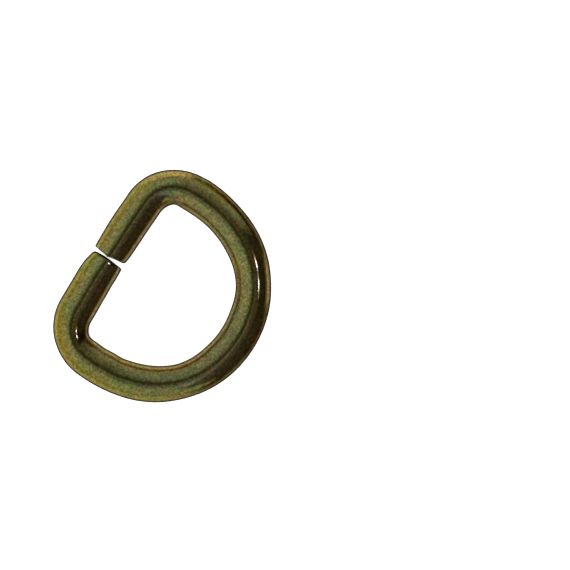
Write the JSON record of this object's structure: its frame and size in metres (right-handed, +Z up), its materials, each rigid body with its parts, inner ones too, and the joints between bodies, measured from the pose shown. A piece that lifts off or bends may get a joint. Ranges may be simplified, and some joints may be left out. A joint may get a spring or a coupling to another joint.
{
  "type": "open wire d ring",
  "caption": "Open D ring of round wire: a split bar for a strap, two corner bends and a round bow for a hook or cord.",
  "frame": {"origin": "middle of the ring's outline, on the surface that it lies on", "axes": "+X along the bar towards end A of the gap, +Y from the bar to the bow, +Z up out of the ring's plane"},
  "size_m": [0.0192, 0.0156, 0.003],
  "materials": {
    "antique_brass": "antique brass plating over round wire, glossy, brown in the shade and olive gold where it is worn"
  },
  "bodies": {
    "root": {"ring": "antique_brass"}
  },
  "joints": []
}
